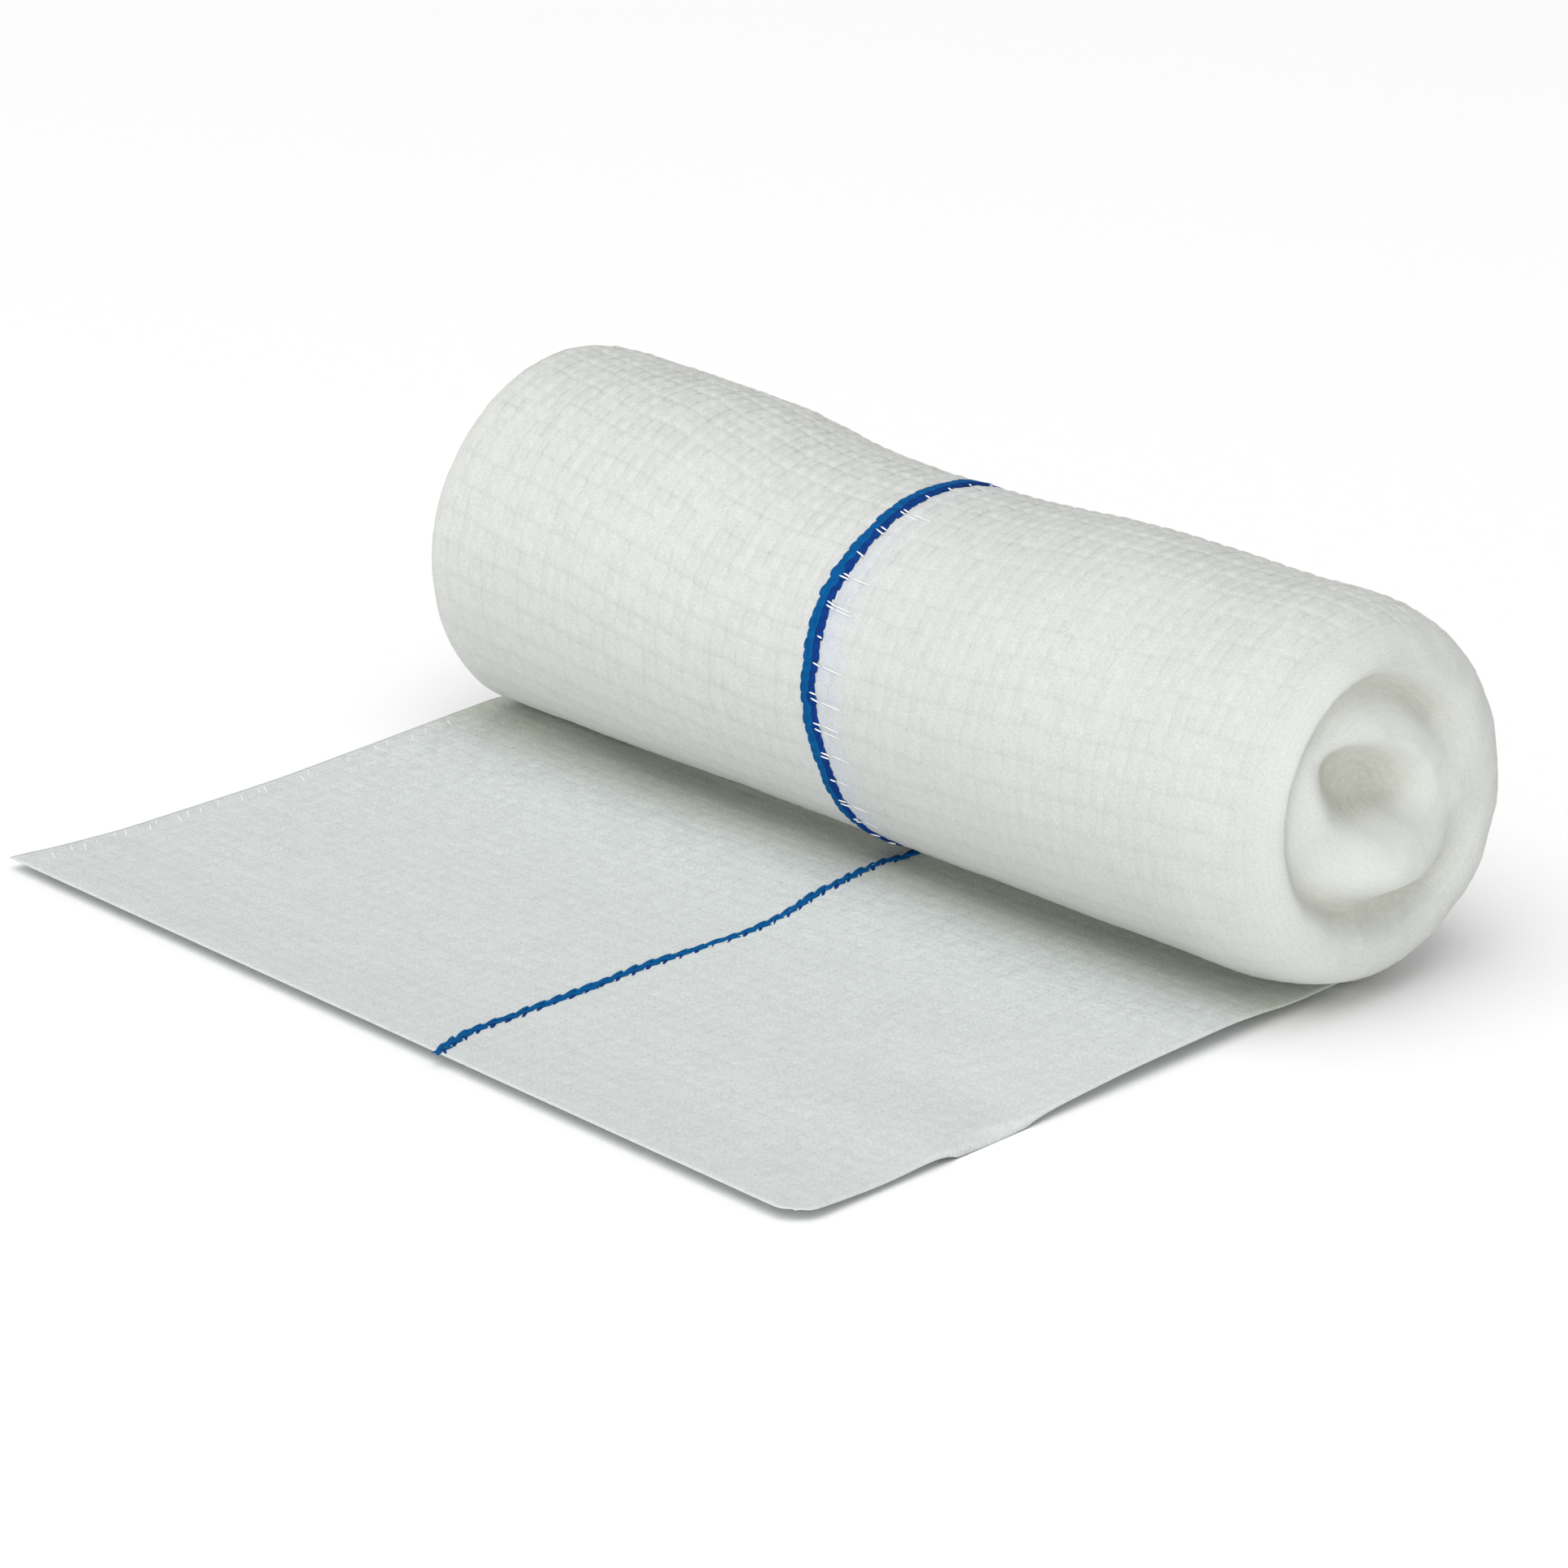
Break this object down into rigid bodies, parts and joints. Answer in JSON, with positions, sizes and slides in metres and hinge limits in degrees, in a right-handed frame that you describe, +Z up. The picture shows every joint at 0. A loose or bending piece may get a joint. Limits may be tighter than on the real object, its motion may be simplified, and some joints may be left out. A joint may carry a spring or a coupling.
{
  "type": "gauze bandage roll",
  "caption": "Soft wound roll of white stretch gauze bandage with a blue marker thread round its waist and its loose end laid out on the surface.",
  "frame": {"origin": "on the surface that the roll rests on, under its axis, between its two ends", "axes": "+X along the roll's axis towards the end that shows the winding, -Y the way the loose end runs out, +Z up"},
  "size_m": [0.0786, 0.0609, 0.0267],
  "materials": {
    "gauze": "matt, soft, crinkled white gauze",
    "marker_thread": "matt twisted blue yarn"
  },
  "bodies": {
    "root": {"roll": "gauze", "loose_end": "gauze"}
  },
  "joints": []
}
